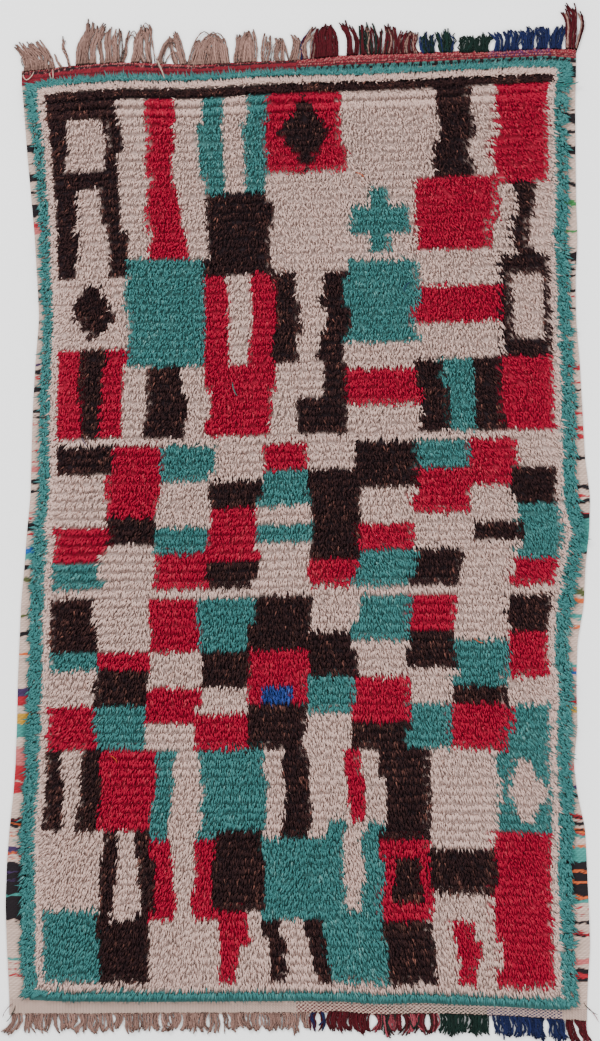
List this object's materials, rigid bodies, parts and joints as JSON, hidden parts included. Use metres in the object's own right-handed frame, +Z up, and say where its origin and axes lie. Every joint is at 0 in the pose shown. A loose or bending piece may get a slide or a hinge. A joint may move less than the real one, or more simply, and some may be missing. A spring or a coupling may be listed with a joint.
{
  "type": "hand-knotted pile rug",
  "caption": "Flat rectangular knotted pile rug with lumpy pile rows, bare woven side edges, flat-woven end bands and uneven fringes at both ends.",
  "frame": {"origin": "middle of the rug's bounding box, on the floor under it", "axes": "+Y along the rug's length towards its red end band, +X to the right seen from above, +Z up"},
  "size_m": [1.2914, 2.2776, 0.0224],
  "materials": {
    "wool_pile": "matt wool pile in cream, dark brown, red and teal",
    "red_end_weave": "matt red flat weave with wool fringe",
    "cream_end_weave": "matt cream flat weave with wool fringe"
  },
  "bodies": {
    "root": {"pile_field": "wool_pile", "top_band": "red_end_weave", "bottom_band": "cream_end_weave"}
  },
  "joints": []
}
